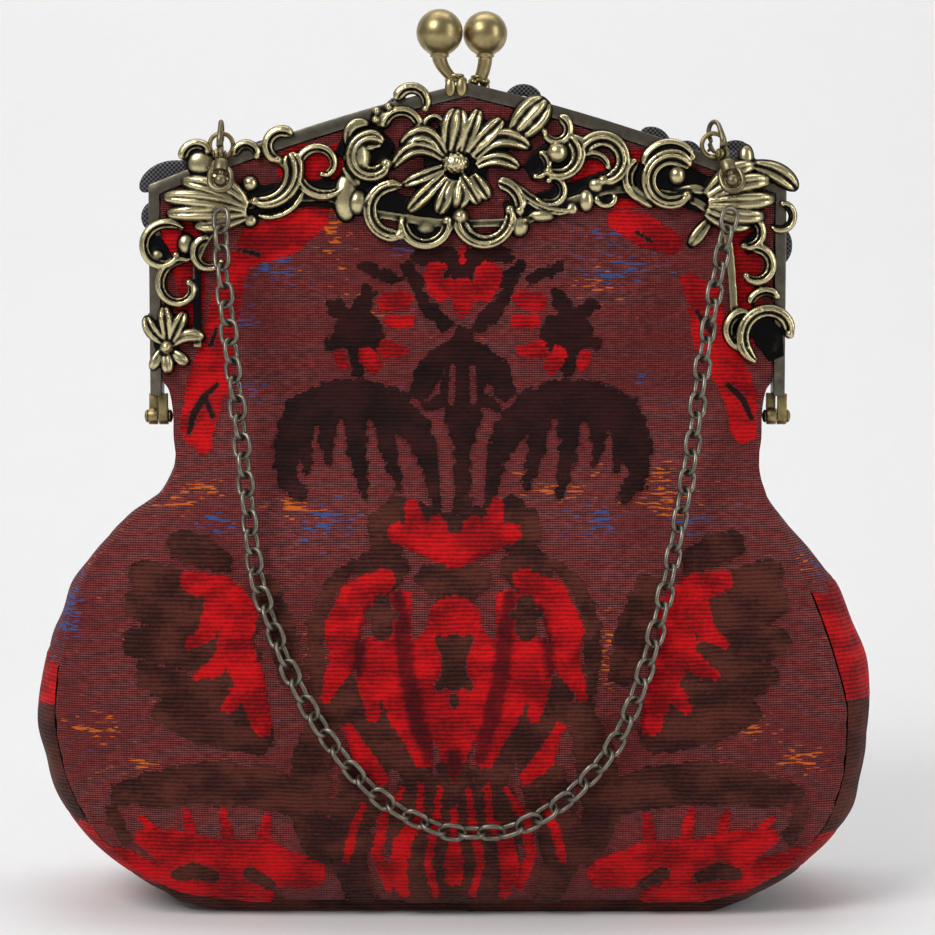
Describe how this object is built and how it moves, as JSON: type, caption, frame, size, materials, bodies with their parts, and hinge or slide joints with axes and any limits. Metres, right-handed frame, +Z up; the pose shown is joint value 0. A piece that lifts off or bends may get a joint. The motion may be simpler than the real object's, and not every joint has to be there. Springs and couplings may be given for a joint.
{
  "type": "chatelaine bag",
  "caption": "Cut-velvet evening bag on a cast brass kiss-lock frame with floral scrollwork and a draped chain strap.",
  "frame": {"origin": "on the flat base the bag stands on, under the middle of the frame", "axes": "+Z up, -Y out of the front of the bag, +X to the right seen from the front"},
  "size_m": [0.2144, 0.0818, 0.2322],
  "materials": {
    "velvet": "cut velvet in red and brown on a wine coloured woven ground",
    "brass": "antique: bright worn edges, dark in the hollows",
    "chain": "dark antique, satin"
  },
  "bodies": {
    "bag": {"front_panel": "velvet", "back_panel": "velvet", "gusset": "velvet", "front_frame": "brass", "back_frame": "brass", "front_kiss_lock": "brass", "back_kiss_lock": "brass", "left_hinge_rivet": "brass", "right_hinge_rivet": "brass", "left_clasp_body": "brass", "left_clasp_rivet": "brass", "left_clasp_loop": "brass", "right_clasp_body": "brass", "right_clasp_rivet": "brass", "right_clasp_loop": "brass", "chain": "chain"},
    "left_lever": {"left_clasp_lever": "brass"},
    "right_lever": {"right_clasp_lever": "brass"}
  },
  "joints": [
    {"name": "left_lever_hinge", "type": "hinge", "parent": "bag", "child": "left_lever", "pos_m": [-0.0642, -0.00772, 0.1948], "axis": [1, 0, 0], "range_deg": [0, 25], "stiffness_Nm_per_rad": 0.002},
    {"name": "right_lever_hinge", "type": "hinge", "parent": "bag", "child": "right_lever", "pos_m": [0.0648, -0.00756, 0.1948], "axis": [0.866, 0.5, 0], "range_deg": [0, 25], "stiffness_Nm_per_rad": 0.002}
  ]
}
